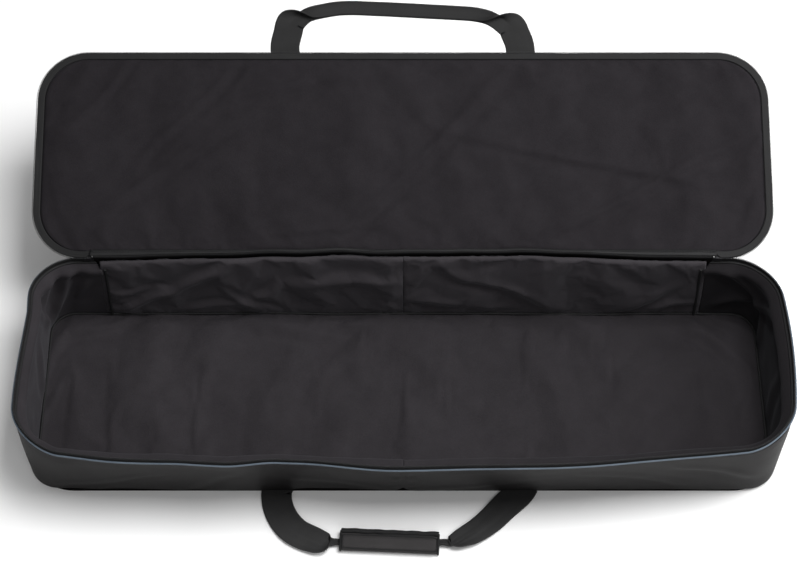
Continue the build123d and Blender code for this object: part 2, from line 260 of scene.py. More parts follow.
def wallPoint(t, z, inset):
    # a point of the wall: t runs round it, z up it, inset into it
    foot, footOut = loopPoint(t, [h - inset for h in tub["foot"]], tub["footCorner"] - inset)
    mouth, mouthOut = loopPoint(t, [h - inset for h in tub["mouth"]], tub["corner"] - inset)
    halfLength, halfDepth = tub["mouth"]
    share = mouth.y / halfDepth
    bow, lean = tub["bowLeft"] if mouth.x < 0 else tub["bowRight"]
    endShare = (abs(mouth.x) / halfLength) ** 6
    mouth.x += math.copysign(bow - lean * share, mouth.x) * endShare * max(0, 1 - share ** 2)
    if mouth.y < 0:
        middle = max(0, 1 - (mouth.x / halfLength) ** 2)
        mouth.y -= tub["frontBulge"] * (mouth.y / halfDepth) ** 2 * middle
    rise = min(z / tub["wallTop"], 1)
    flat = foot.lerp(mouth, rise)
    out = footOut.lerp(mouthOut, rise)
    if mouth.y < 0:
        middle = max(0, 1 - (mouth.x / halfLength) ** 2) * (mouth.y / halfDepth) ** 2
        z -= rise * tub["frontSag"] * (middle + 0.8 * ripple(mouth.x, 0, 0.24, 40))
        flat.y += rise * 0.0035 * ripple(mouth.x, 0, 0.19, 41)
        drawn = smoothStep((mouth.x + 0.29) / 0.09) * smoothStep((-0.01 - mouth.x) / 0.16)
        full = smoothStep((-0.34 - mouth.x) / 0.16)
        shift = tub["frontDrawn"] * drawn - tub["frontFull"] * full
        flat.y += rise * shift * min(1, mouth.y / halfDepth) ** 4
    return Vector((flat.x, flat.y, z)), Vector((out.x, out.y, 0)).normalized()


def shareOfLoop(half, corner):
    # how far round a loop the hinge reaches, each way from the middle of the rear
    return hingeHalf / (4 * (sum(half) - 2 * corner + math.pi * corner / 2))


hingeShare = shareOfLoop(tub["mouth"], tub["corner"])


def lidFlat(x, out, up):
    # a place on the lid: out from the hinge, up from its lining
    cos, sin = math.cos(lid["tilt"]), math.sin(lid["tilt"])
    return Vector((x, hingeY + out * cos - up * sin, hingeZ + out * sin + up * cos))


def lidPoint(x, out, up):
    # the same with the lid's slide, and with its free rear corners hanging a little
    out += lid["slide"]
    hang = smoothStep((abs(x) - hingeHalf + 0.03) / 0.11) * smoothStep(1 - out / 0.16)
    return lidFlat(x, out, up - lid["droop"] * hang)


def lidEdgePoint(t, grow, up):
    half = [h + grow for h in lid["half"]]
    edge, out = loopPoint(t, half, lid["corner"] + grow)
    return lidPoint(edge.x, lid["middle"] - edge.y, up), lidPoint(out.x, -out.y, 0) - lidPoint(0, 0, 0)


def roundedSpot(u, v, half, corner):
    # spreads a square grid over a rounded rectangle; returns the spot and its distance from the edge
    halfLength, halfDepth = half
    y = halfDepth * math.sin((v - 0.5) * math.pi) * 0.35 + halfDepth * (2 * v - 1) * 0.65
    past = max(0, abs(y) - (halfDepth - corner))
    reach = halfLength - corner + math.sqrt(max(0, corner ** 2 - past ** 2))
    x = reach * (2 * u - 1)
    cornerX, cornerY = abs(x) - (halfLength - corner), abs(y) - (halfDepth - corner)
    if cornerX > 0 and cornerY > 0:
        edge = corner - math.hypot(cornerX, cornerY)
    else:
        edge = min(halfLength - abs(x), halfDepth - abs(y))
    return x, y, max(edge, 0)


clothSettings = {"steps": 16, "quality": 5, "stiff": 18, "bend": 0.35, "spare": 0.012, "cap": 0.005}


def settle(piece, limit):
    # lets a held lining buckle a little as cloth, then keeps that shape; limit keeps each point inside the
    # bag
    mesh = piece.data
    uses = {}
    for face in mesh.polygons:
        for key in face.edge_keys:
            uses[key] = uses.get(key, 0) + 1
    held = piece.vertex_groups.new(name="held")
    held.add(sorted({i for key, count in uses.items() if count == 1 for i in key}), 1, "REPLACE")
    cloth = piece.modifiers.new("cloth", "CLOTH")
    rules = cloth.settings
    rules.quality = clothSettings["quality"]
    rules.mass = 0.3
    rules.vertex_group_mass = "held"
    rules.tension_stiffness = rules.compression_stiffness = rules.shear_stiffness = clothSettings["stiff"]
    rules.bending_stiffness = clothSettings["bend"]
    rules.shrink_min = rules.shrink_max = -clothSettings["spare"]
    rules.effector_weights.gravity = 0
    cloth.collision_settings.use_collision = False
    cloth.point_cache.frame_end = clothSettings["steps"]
    for step in range(1, clothSettings["steps"] + 1):
        bpy.context.scene.frame_set(step)
    shaped = piece.evaluated_get(bpy.context.evaluated_depsgraph_get()).to_mesh()
    moved = [vertex.co.copy() for vertex in shaped.vertices]
    piece.modifiers.remove(cloth)
    piece.vertex_groups.clear()
    bpy.context.scene.frame_set(1)
    for vertex, now in zip(mesh.vertices, moved):
        move = now - vertex.co
        if move.length > clothSettings["cap"]:
            move *= clothSettings["cap"] / move.length
        vertex.co = limit(vertex.co, vertex.co + move)
    return piece


# finishes
def groupTree(name, inputs, outputs):
    tree = bpy.data.node_groups.new(name, "ShaderNodeTree")
    for label, kind, value in inputs:
        socket = tree.interface.new_socket(label, in_out="INPUT", socket_type=kind)
        if value is not None:
            socket.default_value = value
    for label, kind in outputs:
        tree.interface.new_socket(label, in_out="OUTPUT", socket_type=kind)
    return tree, tree.nodes.new("NodeGroupInput"), tree.nodes.new("NodeGroupOutput")


def mathNode(tree, operation, first, second=None, third=None):
    node = tree.nodes.new("ShaderNodeMath")
    node.operation = operation
    for socket, value in zip(node.inputs, (first, second, third)):
        if value is None:
            continue
        if isinstance(value, (int, float)):
            socket.default_value = value
        else:
            tree.links.new(value, socket)
    return node.outputs[0]


def noiseNode(tree, vector, scale, detail=3.0, rough=0.55):
    node = tree.nodes.new("ShaderNodeTexNoise")
    node.inputs["Detail"].default_value = detail
    node.inputs["Roughness"].default_value = rough
    if isinstance(scale, (int, float)):
        node.inputs["Scale"].default_value = scale
    else:
        tree.links.new(scale, node.inputs["Scale"])
    tree.links.new(vector, node.inputs["Vector"])
    return node.outputs["Fac"]


def buildPile():
    # short brushed pile: patches where the nap lies another way, and fine fuzz
    tree, given, result = groupTree(
        "shortPile",
        [("Vector", "NodeSocketVector", None), ("Patch", "NodeSocketFloat", 14.0),
         ("Fuzz", "NodeSocketFloat", 900.0)],
        [("Tone", "NodeSocketFloat"), ("Height", "NodeSocketFloat")],
    )
    patch = noiseNode(tree, given.outputs["Vector"], given.outputs["Patch"], 4.0, 0.6)
    cloud = noiseNode(tree, given.outputs["Vector"], 3.1, 2.0)
    fuzz = noiseNode(tree, given.outputs["Vector"], given.outputs["Fuzz"], 2.0, 0.7)
    both = mathNode(
        tree, "ADD", mathNode(tree, "MULTIPLY", patch, 0.6), mathNode(tree, "MULTIPLY", cloud, 0.4),
    )
    tone = mathNode(
        tree, "ADD", mathNode(tree, "MULTIPLY", both, 0.62), mathNode(tree, "MULTIPLY", fuzz, 0.38),
    )
    tree.links.new(tone, result.inputs["Tone"])
    tree.links.new(
        mathNode(tree, "ADD", mathNode(tree, "MULTIPLY", patch, 0.35), fuzz), result.inputs["Height"],
    )
    return tree


def buildWeave():
    # over-and-under threads; Slant above zero shifts the warp sideways in a zigzag
    tree, given, result = groupTree(
        "threadWeave",
        [("Vector", "NodeSocketVector", None), ("Across", "NodeSocketFloat", 1400.0),
         ("Along", "NodeSocketFloat", 1400.0), ("Slant", "NodeSocketFloat", 0.0)],
        [("Tone", "NodeSocketFloat"), ("Height", "NodeSocketFloat")],
    )
    split = tree.nodes.new("ShaderNodeSeparateXYZ")
    tree.links.new(given.outputs["Vector"], split.inputs[0])
    u, v = split.outputs["X"], split.outputs["Y"]
    slanted = mathNode(tree, "MULTIPLY", given.outputs["Slant"], mathNode(tree, "PINGPONG", v, 0.006))
    warp = mathNode(
        tree, "SINE", mathNode(tree, "MULTIPLY", mathNode(tree, "ADD", u, slanted), given.outputs["Along"]),
    )
    weft = mathNode(tree, "SINE", mathNode(tree, "MULTIPLY", v, given.outputs["Across"]))
    height = mathNode(tree, "MULTIPLY_ADD", mathNode(tree, "MULTIPLY", warp, weft), 0.5, 0.5)
    wear = noiseNode(tree, given.outputs["Vector"], 22.0, 4.0, 0.6)
    speck = noiseNode(tree, given.outputs["Vector"], 420.0, 2.0, 0.6)
    tone = mathNode(
        tree, "ADD", mathNode(tree, "MULTIPLY", wear, 0.55), mathNode(tree, "MULTIPLY", speck, 0.45),
    )
    tone = mathNode(tree, "MULTIPLY", tone, mathNode(tree, "MULTIPLY_ADD", height, 0.3, 0.75))
    tree.links.new(tone, result.inputs["Tone"])
    tree.links.new(height, result.inputs["Height"])
    return tree


def makeFinish(name, look):
    # look: group, its values, dark and light colours, roughness range, bump, sheen, place of the pattern,
    # and fade,
    # which is painted shade: where along X the colour starts and stops darkening, and how dark it ends
    finish = bpy.data.materials.new(name)
    finish.use_nodes = True
    tree = finish.node_tree
    shader = tree.nodes["Principled BSDF"]
    place = tree.nodes.new("ShaderNodeTexCoord").outputs["UV" if look.get("uv") else "Object"]
    pattern = tree.nodes.new("ShaderNodeGroup")
    pattern.node_tree = look["group"]
    for label, value in look["values"].items():
        pattern.inputs[label].default_value = value
    tree.links.new(place, pattern.inputs["Vector"])
    ramp = tree.nodes.new("ShaderNodeValToRGB")
    ramp.color_ramp.elements[0].position, ramp.color_ramp.elements[1].position = look["span"]
    ramp.color_ramp.elements[0].color = (*look["dark"], 1)
    ramp.color_ramp.elements[1].color = (*look["light"], 1)
    tree.links.new(pattern.outputs["Tone"], ramp.inputs["Fac"])
    colour = ramp.outputs["Color"]
    # fade is painted shade: the colour is darkened along X
    if "fade" in look:
        split = tree.nodes.new("ShaderNodeSeparateXYZ")
        tree.links.new(place, split.inputs[0])
        shade = tree.nodes.new("ShaderNodeMapRange")
        for label, value in zip(
            ("From Min", "From Max", "To Min", "To Max"), (*look["fade"][:2], 1, look["fade"][2]),
        ):
            shade.inputs[label].default_value = value
        tree.links.new(split.outputs["X"], shade.inputs["Value"])
        scaled = tree.nodes.new("ShaderNodeVectorMath")
        scaled.operation = "SCALE"
        tree.links.new(colour, scaled.inputs[0])
        tree.links.new(shade.outputs["Result"], scaled.inputs["Scale"])
        colour = scaled.outputs[0]
    tree.links.new(colour, shader.inputs["Base Color"])
    rough = tree.nodes.new("ShaderNodeMapRange")
    rough.inputs["To Min"].default_value, rough.inputs["To Max"].default_value = look["rough"]
    tree.links.new(pattern.outputs["Tone"], rough.inputs["Value"])
    tree.links.new(rough.outputs["Result"], shader.inputs["Roughness"])
    bump = tree.nodes.new("ShaderNodeBump")
    bump.inputs["Strength"].default_value = look["bump"]
    bump.inputs["Distance"].default_value = look["depth"]
    tree.links.new(pattern.outputs["Height"], bump.inputs["Height"])
    tree.links.new(bump.outputs["Normal"], shader.inputs["Normal"])
    shader.inputs["Metallic"].default_value = look.get("metal", 0.0)
    shader.inputs["Sheen Weight"].default_value = look.get("sheen", 0.0)
    shader.inputs["Sheen Roughness"].default_value = 0.45
    shader.inputs["Sheen Tint"].default_value = (0.9, 0.92, 1.0, 1)
    shader.inputs["IOR"].default_value = look.get("ior", 1.25)
    return finish


addCamera()
addStudio()
print("stage: camera and studio")

pile, weave = buildPile(), buildWeave()


def plushLook(dark, light, rough, sheen, ior, **more):
    return {
        "group": pile, "values": {"Patch": 26.0, "Fuzz": 420.0}, "span": (0.32, 0.70), "dark": dark,
        "light": light,
        "rough": rough, "bump": 0.5, "depth": 0.0008, "sheen": sheen, "ior": ior, **more,
    }


def wovenLook(threads, dark, light, rough, bump, depth, **more):
    # threads: how close they lie across and along
    values = dict(zip(("Across", "Along", "Slant"), threads))
    return {
        "group": weave, "values": values, "span": (0.2, 0.75), "dark": dark, "light": light, "rough": rough,
        "bump": bump, "depth": depth, **more,
    }


# one plush lining in three brightnesses: lidPile is its own colour; innerPileLit and wallPileLit are
# lighter copies, painted light for the tub's floor, end walls and back wall
lidPile = (0.0108, 0.0094, 0.0110), (0.0200, 0.0180, 0.0204)
innerPileLit = (0.0170, 0.0150, 0.0172), (0.0300, 0.0272, 0.0305)
wallPileLit = (0.0240, 0.0214, 0.0244), (0.0400, 0.0362, 0.0406)
plush = makeFinish("plush", plushLook(*lidPile, (0.75, 0.95), 0.03, 1.15))
# floor, left and right linings: the lighter plush (painted light), darkened towards +X by fade as painted
# shade; the right end wall gets the stronger painted shade
plushInnerLitAndShaded = makeFinish(
    "plushInnerLitAndShaded", plushLook(*innerPileLit, (0.7, 0.95), 0.05, 1.2, fade=(-0.35, 0.60, 0.80)),
)
plushRightLitAndShaded = makeFinish(
    "plushRightLitAndShaded", plushLook(*innerPileLit, (0.7, 0.95), 0.04, 1.2, fade=(-0.08, 0.50, 0.46)),
)
# the back wall's lining: the lightest copy of the plush, painted light
plushWallLit = makeFinish("plushWallLit", plushLook(*wallPileLit, (0.6, 0.9), 0.08, 1.25))
shellThreads = (5200.0, 5200.0), (
    0.0032, 0.0028, 0.0030,
), (0.0085, 0.0077, 0.0080), (0.5, 0.7), 0.35, 0.0002
nylon = makeFinish("nylonShell", wovenLook(*shellThreads, uv=True))
nylonPlain = makeFinish("nylonBase", wovenLook(*shellThreads))
beltThreads = (1900.0, 2600.0, 1.0)
webbing = makeFinish("webbing", wovenLook(
    beltThreads, (0.0095, 0.0095, 0.0097), (0.0215, 0.0215, 0.0219), (0.5, 0.7), 0.6, 0.0004,
    span=(0.15, 0.75), uv=True))
# the front handle's webbing: a lighter copy of the webbing, painted light for a handle that lies in the
# bag's shade
webbingLit = makeFinish("webbingLit", wovenLook(
    beltThreads, (0.0155, 0.0155, 0.0158), (0.0345, 0.0345, 0.0350), (0.5, 0.7), 0.6, 0.0004,
    span=(0.15, 0.75), uv=True))
tapeCloth = makeFinish("tapeCloth", wovenLook(
    (3000.0, 5200.0), (
        0.0078, 0.0078, 0.0081,
    ), (0.0172, 0.0172, 0.0177), (0.55, 0.75), 0.4, 0.0002, uv=True))
bindingCloth = makeFinish("bindingCloth", wovenLook(
    (3600.0, 2400.0), (
        0.0070, 0.0070, 0.0074,
    ), (0.0180, 0.0180, 0.0186), (0.45, 0.65), 0.4, 0.0003, uv=True))
pipingCord = makeFinish("pipingCord", wovenLook(
    (3600.0, 3600.0), (
        0.050, 0.066, 0.086,
    ), (0.135, 0.165, 0.200), (0.35, 0.5), 0.3, 0.0002, span=(0.15, 0.8)))
coilNylon = makeFinish("coilNylon", {
    "group": pile, "values": {"Patch": 40.0, "Fuzz": 600.0}, "span": (0.3, 0.7),
    "dark": (0.015, 0.015, 0.016),
    "light": (0.03, 0.03, 0.031), "rough": (0.3, 0.45), "bump": 0.05, "depth": 0.0001, "ior": 1.4})
thread = makeFinish("thread", wovenLook(
    (9000.0, 9000.0), (0.03, 0.03, 0.031), (0.06, 0.06, 0.062), (0.45, 0.6), 0.2, 0.0001, span=(0.2, 0.8)))
gripCloth = makeFinish("gripCloth", wovenLook(
    (4200.0, 4200.0), (0.0200, 0.0188, 0.0192), (0.0440, 0.0415, 0.0422), (0.6, 0.8), 0.4, 0.0003,
    sheen=0.03, uv=True))
darkMetal = makeFinish("darkMetal", {
    "group": pile, "values": {"Patch": 90.0, "Fuzz": 500.0}, "span": (0.3, 0.7),
    "dark": (0.03, 0.03, 0.032),
    "light": (0.07, 0.07, 0.073), "rough": (0.28, 0.42), "bump": 0.08, "depth": 0.0001, "metal": 0.85,
    "ior": 1.45})
print("stage: finishes")


def dress(piece, finish, body, nodes=()):
    piece.data.materials.clear()
    piece.data.materials.append(finish)
    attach(piece, body)
    if nodes:
        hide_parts(*nodes)
    return piece


# base tub: outer cloth
hingeLine = {"radius": 0.0040, "wave": 0.0010, "lift": 0.0060, "bandPast": 0.005}
outerWall = {
    "cells": (640, 40), "seamDip": 0.0016, "seamWidth": 0.0035, "roll": 0.004, "rollHeight": 0.010,
    "notch": 0.004, "creases": 0.7, "thickness": 0.0011,
}
outerCreases = (
    (-0.56, 0.030, -0.40, 0.090, 0.010, 0.0022), (-0.36, 0.020, -0.27, 0.110, 0.012, 0.0020),
    (0.30, 0.110, 0.46, 0.040, 0.011, 0.0024),
    (0.44, 0.120, 0.57, 0.060, 0.010, 0.0026), (0.05, 0.020, 0.20, 0.080, 0.012, 0.0016),
    (-0.20, 0.090, -0.04, 0.030, 0.012, 0.0016),
)


def hingeLift(x):
    # the hinge side stands a little proud between its ends, and waves
    middle = smoothStep((0.50 - abs(x)) / 0.20)
    return hingeLine["lift"] * middle * (0.8 + 0.9 * ripple(x, 0, 0.21, 25) + 0.5 * ripple(x, 0, 0.09, 26))


def outerWallPlace(u, v):
    t = hingeShare + u * (1 - 2 * hingeShare)
    z = v * tub["wallTop"]
    point, out = wallPoint(t, z, 0)
    x = point.x
    along = u * 2.1
    push = 0.0034 * ripple(along, z, 0.17, 1) + 0.0014 * ripple(along, z, 0.055, 2)
    if point.y < -0.1:
        push += outerWall["creases"] * creaseHeight(point.x, z, outerCreases)
    push = max(push, -0.0030) * smoothStep((tub["wallTop"] - z) / 0.03)
    if point.y < 0:
        push -= outerWall["seamDip"] * math.exp(-(x / outerWall["seamWidth"]) ** 2)
        push += 0.0012 * math.exp(-((abs(x) - 0.012) / 0.008) ** 2) * ripple(x, z, 0.02, 3)
        push -= outerWall["notch"] * math.exp(-(x / 0.010) ** 2) * smoothStep(1 - z / 0.03)
    push -= outerWall["roll"] * max(0, 1 - z / outerWall["rollHeight"]) ** 2
    push -= 0.0012 * math.exp(-((tub["wallTop"] - z) / 0.004) ** 2)
    return point + out * push


wall = gridPiece("outerWall", outerWall["cells"], outerWallPlace, (2.04, 0.152))
thicken(wall, outerWall["thickness"])
dress(
    wall, nylon, "base",
    ("gusset_shell_left", "gusset_shell_right", "gusset_foam_left", "gusset_foam_right"),
)


def outerBackPlace(u, v):
    t = -hingeShare + u * 2 * hingeShare
    z = v * (backTop - 0.001)
    point, out = wallPoint(t, z, 0)
    push = 0.0010 * ripple(u, z, 0.16, 4) + 0.0006 * ripple(u, z, 0.05, 5)
    push -= outerWall["roll"] * max(0, 1 - z / outerWall["rollHeight"]) ** 2
    rise = hingeLift(point.x) * smoothStep((z - 0.10) / 0.05)
    return point + out * (push + 0.7 * rise) + Vector((0, 0, rise))


back = gridPiece("outerBack", (300, 40), outerBackPlace, (1.04, 0.162))
thicken(back, outerWall["thickness"])
dress(back, nylon, "base", ("back_shell", "back_foam"))

# base tub: lining
lining = {"thickness": 0.0070, "seamRadius": 0.0021, "rearSeamRadius": 0.0024}
liningCreases = {
    "left": (
        (0.055, 0.145, 0.100, 0.020, 0.011, 0.0070), (0.100, 0.150, 0.135, 0.050, 0.012, 0.0055),
        (0.150, 0.130, 0.120, 0.030, 0.010, 0.0040),
        (0.020, 0.110, 0.060, 0.060, 0.008, 0.0030), (0.240, 0.020, 0.200, 0.100, 0.012, 0.0030),
        (0.400, 0.030, 0.430, 0.130, 0.012, 0.0040),
    ),
    "right": (
        (0.030, 0.140, 0.110, 0.090, 0.010, 0.0060), (0.020, 0.040, 0.110, 0.090, 0.010, 0.0060),
        (0.110, 0.090, 0.170, 0.130, 0.010, 0.0050),
        (0.110, 0.090, 0.150, 0.020, 0.012, 0.0060), (0.300, 0.030, 0.270, 0.120, 0.014, 0.0030),
        (0.410, 0.030, 0.440, 0.130, 0.012, 0.0040),
    ),
    "backLeft": (
        (0.498, 0.030, 0.405, 0.080, 0.010, 0.0060), (0.395, 0.084, 0.300, 0.146, 0.010, 0.0050),
        (0.493, 0.074, 0.411, 0.090, 0.007, 0.0030),
        (0.381, 0.027, 0.262, 0.048, 0.008, 0.0030), (0.262, 0.052, 0.215, 0.092, 0.010, 0.0040),
        (0.205, 0.096, 0.010, 0.112, 0.011, 0.0026),
        (0.300, 0.060, 0.225, 0.030, 0.008, 0.0030),
    ),
    "backRight": (
        (0.009, 0.054, 0.184, 0.034, 0.009, 0.0032), (0.060, 0.142, 0.150, 0.100, 0.011, 0.0036),
        (0.150, 0.104, 0.270, 0.040, 0.011, 0.0034),
        (0.374, 0.028, 0.473, 0.092, 0.011, 0.0032), (0.430, 0.030, 0.505, 0.050, 0.008, 0.0035),
    ),
}


def liningPlace(t, z, creases, along, seed):
    top = smoothStep((z - tub["wallTop"] + 0.009) / 0.009)
    hem = tub["hem"] * math.exp(-((z - tub["wallTop"] + 0.014) / 0.009) ** 2)
    point, out = wallPoint(t, z, tub["wall"] + hem - tub["roll"] * top)
    push = -0.0020 - 0.0020 * ripple(along, z, 0.09, seed) - 0.0012 * ripple(along, z, 0.03, seed + 1)
    push = min(push - creaseHeight(along, z, creases), 0.0012)
    hold = smoothStep(z / 0.03) * smoothStep((tub["wallTop"] + 0.004 - z) / 0.02)
    return point + out * (push * hold)


def halfLining(name, side, nodes):
    def place(u, v):
        t = hingeShare + u * (0.5 - hingeShare)
        if side > 0:
            t = 1 - t
        z = tub["floor"] - 0.002 + v * (tub["wallTop"] - tub["floor"] + 0.002)
        return liningPlace(t, z, liningCreases["left" if side < 0 else "right"], u * 1.02, 6 + side)
    piece = gridPiece(name, (300, 36), place, (1.02, 0.141), flip=side < 0)
    thicken(piece, lining["thickness"], even=False)
    return dress(piece, plushInnerLitAndShaded if side < 0 else plushRightLitAndShaded, "base", nodes)


halfLining("wallLiningLeft", -1, ("gusset_lining_left",))
halfLining("wallLiningRight", 1, ("gusset_lining_right",))


def backLining(name, side, nodes):
    def place(u, v):
        t = side * hingeShare * u
        z = tub["floor"] - 0.002 + v * (backTop - 0.002 - tub["floor"])
        along = 0.52 * u
        point = wallPoint(-t, z, tub["wall"])[0]
        hold = smoothStep(z / 0.03) * smoothStep((backTop - z) / 0.02)
        push = 0.0020 + creaseHeight(along, z, liningCreases["backLeft" if side < 0 else "backRight"])
        push += 0.0022 * ripple(along, z, 0.10, 9 + side) + 0.0012 * ripple(along, z, 0.035, 11 + side)
        push = max(push, -0.0012)
        point.y -= (push - 0.0022 * math.exp(-(along / 0.004) ** 2)) * hold
        rise = hingeLift(point.x) * smoothStep((z - 0.10) / 0.05)
        turn = smoothStep((z - backTop + 0.010) / 0.009)
        return point + Vector((0, 0.7 * rise + 0.006 * turn, rise - 0.001 * turn))
    piece = gridPiece(name, (170, 48), place, (0.52, 0.15), flip=side < 0)
    settle(piece, lambda was, now: Vector((now.x, min(now.y, was.y + 0.0012), now.z)))
    thicken(piece, lining["thickness"], even=False)
    return dress(piece, plushWallLit, "base", nodes)


backLining("backLiningLeft", -1, ("back_lining_left",))
backLining("backLiningRight", 1, ("back_lining_right",))

floorCreases = (
    (0.42, 0.150, 0.56, 0.100, 0.012, 0.0030), (0.46, 0.160, 0.590, 0.060, 0.012, 0.0030),
    (0.50, 0.165, 0.600, 0.130, 0.008, 0.0030),
    (-0.590, 0.120, -0.470, 0.150, 0.010, 0.0030), (-0.30, 0.155, -0.12, 0.120, 0.014, 0.0018),
    (0.05, -0.02, 0.30, -0.06, 0.020, 0.0010),
)
floorPad = {"cells": (260, 80), "half": (0.6075, 0.1655), "corner": 0.0415, "thickness": 0.006}


def floorPlace(u, v):
    x, y, edge = roundedSpot(u, v, floorPad["half"], floorPad["corner"])
    lift = 0.0034 * ripple(x, y, 0.20, 12) + 0.0016 * ripple(x, y, 0.07, 13) + creaseHeight(
        x, y, floorCreases,
    )
    return Vector((x, y, tub["floor"] + 0.001 + lift * smoothStep(edge / 0.03)))


floorLining = gridPiece("floorLining", floorPad["cells"], floorPlace, (1.21, 0.33))
settle(floorLining, lambda was, now: Vector((now.x, now.y, max(now.z, was.z - 0.0020))))
thicken(floorLining, floorPad["thickness"], even=False)
dress(floorLining, plushInnerLitAndShaded, "base", ("floor_lining", "bottom_foam"))

seam = [wallPoint(i / 520, 0.0135, 0.0140)[0] for i in range(520)]
for point in seam:
    wave = ripple(point.x, point.y, 0.16, 14)
    point.z += 0.0020 * wave + 0.0008 * ripple(point.x, point.y, 0.05, 15)
    point.y += 0.0022 * wave
floorSeam = tubePiece("floorSeam", seam, lining["seamRadius"], closed=True)
dress(floorSeam, bindingCloth, "base", ("floor_seam_binding",))

for name, side, node in (
    ("rearSeamLeft", 1, "rear_seam_binding_left"), ("rearSeamRight", -1, "rear_seam_binding_right"),
):
    run = []
    for i in range(31):
        inset = 0.0150 + 0.0006 * ripple(i, 0, 5, 28)
        run.append(wallPoint(side * hingeShare * 0.992, 0.014 + i * 0.0044, inset)[0])
    piece = tubePiece(name, run, lining["rearSeamRadius"])
    dress(piece, bindingCloth, "base", (node,))
print("stage: tub")

# rim: binding, zip tape, piping and teeth
rim = {
    "bindingDrop": 0.005, "bindingWide": 0.0055, "bindingTail": 0.002, "tapeHeight": tapeHigh.z - tapeLow.z,
    "tapeInset": 0.001, "tapeSewn": 0.003, "pipingRadius": 0.0015, "pipingSteps": 760, "pipingLift": 0.002,
}


def wallSpan(u):
    return hingeShare + u * (1 - 2 * hingeShare)


def bindingPlace(u, v):
    # the tape wraps over the wall's top edge, from outside to inside
    t = wallSpan(u)
    drop, wide = rim["bindingDrop"], rim["bindingWide"]
    walk = v * (drop + wide + rim["bindingTail"])
    if walk < drop:
        inset, z = -0.0005, tub["wallTop"] - drop + walk
    elif walk < drop + wide:
        inset, z = walk - drop, tub["wallTop"]
    else:
        inset, z = wide, tub["wallTop"] - (walk - drop - wide)
    crown = 0.0010 * math.sin(math.pi * v) + 0.0003 * ripple(u * 2.1, v, 0.03, 15)
    point, out = wallPoint(t, z, inset)
    return point + Vector((0, 0, crown))


rimBinding = gridPiece("rimBinding", (640, 14), bindingPlace, (2.04, 0.023))
thicken(rimBinding, 0.0006)
dress(rimBinding, bindingCloth, "base", ("rim_binding",))


def rimTapePlace(u, v):
    z = tapeLow.z + (v - 1) * rim["tapeSewn"] + v * rim["tapeHeight"]
    point, out = wallPoint(wallSpan(u), z, rim["tapeInset"])
    return point + out * (0.0006 * ripple(u * 2.1, v, 0.06, 16) * v)


rimTape = gridPiece("rimTape", (640, 6), rimTapePlace, (2.04, 0.008))
thicken(rimTape, 0.0012)
dress(rimTape, tapeCloth, "base", ("rim_zip_tape",))

pipingRun = []
for i in range(rim["pipingSteps"] + 1):
    share = i / rim["pipingSteps"]
    pipingZ = rimHigh.z + rim["pipingLift"] + 0.0003 * ripple(share * 2.1, 0, 0.05, 17)
    pipingRun.append(wallPoint(wallSpan(share), pipingZ, -0.0012)[0])
piping = tubePiece("rimPiping", pipingRun, rim["pipingRadius"])
dress(piping, pipingCord, "base", ("rim_piping",))


def teethPiece(name, path, turns, size, wire):
    # the coil: a wire wound round the path
    points = []
    steps = 7
    for i in range(turns * steps + 1):
        centre, side, up = path(i / (turns * steps))
        angle = 2 * math.pi * i / steps
        points.append(centre + side * (size[0] * math.cos(angle)) + up * (size[1] * math.sin(angle)))
    return tubePiece(name, points, wire, sides=0)


teeth = {"turns": 820, "size": (0.0011, 0.0013), "wire": 0.00042}


def rimTeethPath(share):
    point, out = wallPoint(wallSpan(share), (coilLow.z + coilHigh.z) / 2, 0.0016)
    return point, out, Vector((0, 0, 1))


rimTeeth = teethPiece("rimTeeth", rimTeethPath, teeth["turns"], teeth["size"], teeth["wire"])
dress(rimTeeth, coilNylon, "base", ("rim_zip_coil",))
print("stage: rim")

# lid
lidHingeShare = shareOfLoop(lid["half"], lid["corner"])


def lidSpan(u):
    return lidHingeShare + u * (1 - 2 * lidHingeShare)


def lidOuterPlace(u, v):
    x, y, edge = roundedSpot(u, v, lid["half"], lid["corner"])
    turn = max(0, 1 - edge / 0.009) ** 2.4
    up = -lid["thick"] + (lid["thick"] - 0.0012) * turn
    up -= 0.0009 * ripple(x, y, 0.15, 20) * smoothStep(edge / 0.03)
    return lidPoint(x, lid["middle"] + y, up)


lidOuter = gridPiece("lidOuter", (280, 110), lidOuterPlace, (1.227, 0.345), flip=True)
thicken(lidOuter, 0.001)
dress(lidOuter, nylon, "lid", ("lid_shell",))

lidCreases = (
    (-0.52, 0.08, -0.20, 0.30, 0.010, 0.0022), (-0.10, 0.05, 0.15, 0.30, 0.011, 0.0020),
    (0.24, 0.04, 0.56, 0.20, 0.009, 0.0026),
    (-0.35, 0.28, -0.05, 0.33, 0.009, 0.0016), (0.10, 0.10, 0.45, 0.16, 0.009, 0.0020),
    (-0.56, 0.24, -0.48, 0.33, 0.007, 0.0020),
    (-0.44, 0.18, -0.30, 0.33, 0.008, 0.0018), (0.10, 0.22, 0.58, 0.11, 0.008, 0.0020),
    (-0.30, 0.03, -0.05, 0.06, 0.007, 0.0018),
)


def lidLiningPlace(u, v):
    x, y, edge = roundedSpot(u, v, lid["half"], lid["corner"])
    up = 0.0010 - 0.0026 * math.exp(-edge / 0.008)
    up += (0.0024 * ripple(x, y, 0.18, 21) + 0.0012 * ripple(x, y, 0.06, 22)) * smoothStep(edge / 0.04)
    up += creaseHeight(x, lid["middle"] + y, lidCreases) * smoothStep(edge / 0.04)
    return lidPoint(x * 0.9985, lid["middle"] + y * 0.995, up)


lidLining = gridPiece("lidLining", (230, 84), lidLiningPlace, (1.227, 0.345))
settle(lidLining, lambda was, now: was.lerp(now, 0.7))
thicken(lidLining, 0.0075, even=False)
dress(lidLining, plush, "lid", ("lid_lining", "lid_foam"))


